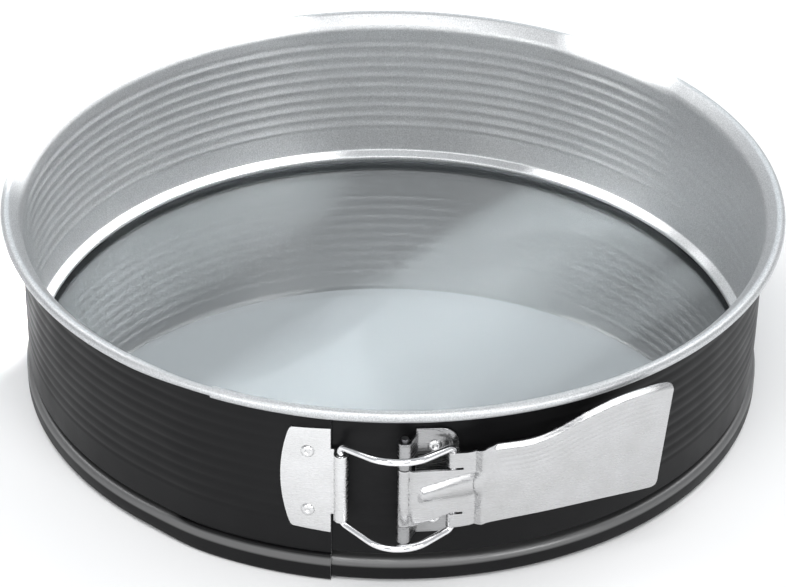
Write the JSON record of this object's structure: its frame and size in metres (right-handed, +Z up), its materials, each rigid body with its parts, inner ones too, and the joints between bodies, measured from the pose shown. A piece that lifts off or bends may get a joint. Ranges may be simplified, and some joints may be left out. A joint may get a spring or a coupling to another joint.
{
  "type": "springform pan",
  "caption": "Round springform baking pan: clear glass base, black coated steel ring with ribs and a rolled rim, silver inside, and a lever clasp with a wire bail.",
  "frame": {"origin": "centre of the glass base's flat underside", "axes": "+Z up along the pan's axis, clasp towards -Y, lever handle towards +X when shut"},
  "size_m": [0.2728, 0.2821, 0.0705],
  "materials": {
    "clear_glass": "polished tempered glass",
    "coated_steel": "satin black outside, silver-grey non-stick inside",
    "tinned_plate": "bright satin",
    "bright_wire": "polished"
  },
  "bodies": {
    "base": {"glass_base": "clear_glass", "band_back": "coated_steel"},
    "left_side": {"band_left_side": "coated_steel"},
    "right_side": {"band_right_side": "coated_steel"},
    "left_end": {"band_left_front": "coated_steel", "catch_plate": "tinned_plate", "catch_rivets": "tinned_plate"},
    "right_end": {"band_right_front": "coated_steel", "lever_bracket": "tinned_plate", "bracket_rivets": "tinned_plate", "pivot_pin": "tinned_plate"},
    "lever_arm": {"lever": "tinned_plate"},
    "bail": {"bail_wire": "bright_wire"}
  },
  "joints": [
    {"name": "lever_swing", "type": "hinge", "parent": "right_end", "child": "lever_arm", "pos_m": [0.00473, -0.13542, 0.037], "axis": [0, 0, -1], "range_deg": [0, 130]},
    {"name": "bail_swing", "type": "hinge", "parent": "lever_arm", "child": "bail", "pos_m": [0.02006, -0.13425, 0.039], "axis": [0, 0, 1], "range_deg": [0, 100.5]},
    {"name": "left_back_flex", "type": "hinge", "parent": "base", "child": "left_side", "pos_m": [-0.06825, 0.11821, 0.034], "axis": [0, 0, -1], "range_deg": [0, 1.44]},
    {"name": "left_front_flex", "type": "hinge", "parent": "left_side", "child": "left_end", "pos_m": [-0.11821, -0.06825, 0.034], "axis": [0, 0, -1], "range_deg": [0, 2.73]},
    {"name": "right_back_flex", "type": "hinge", "parent": "base", "child": "right_side", "pos_m": [0.06825, 0.11821, 0.034], "axis": [0, 0, 1], "range_deg": [0, 1.44]},
    {"name": "right_front_flex", "type": "hinge", "parent": "right_side", "child": "right_end", "pos_m": [0.11821, -0.06825, 0.034], "axis": [0, 0, 1], "range_deg": [0, 2.73]}
  ],
  "couplings": [
    {"joint": "bail_swing", "follows": "lever_swing", "ratio": 0.77271},
    {"joint": "left_back_flex", "follows": "lever_swing", "ratio": 0.011044},
    {"joint": "left_front_flex", "follows": "lever_swing", "ratio": 0.020984},
    {"joint": "right_back_flex", "follows": "lever_swing", "ratio": 0.011044},
    {"joint": "right_front_flex", "follows": "lever_swing", "ratio": 0.020984}
  ]
}
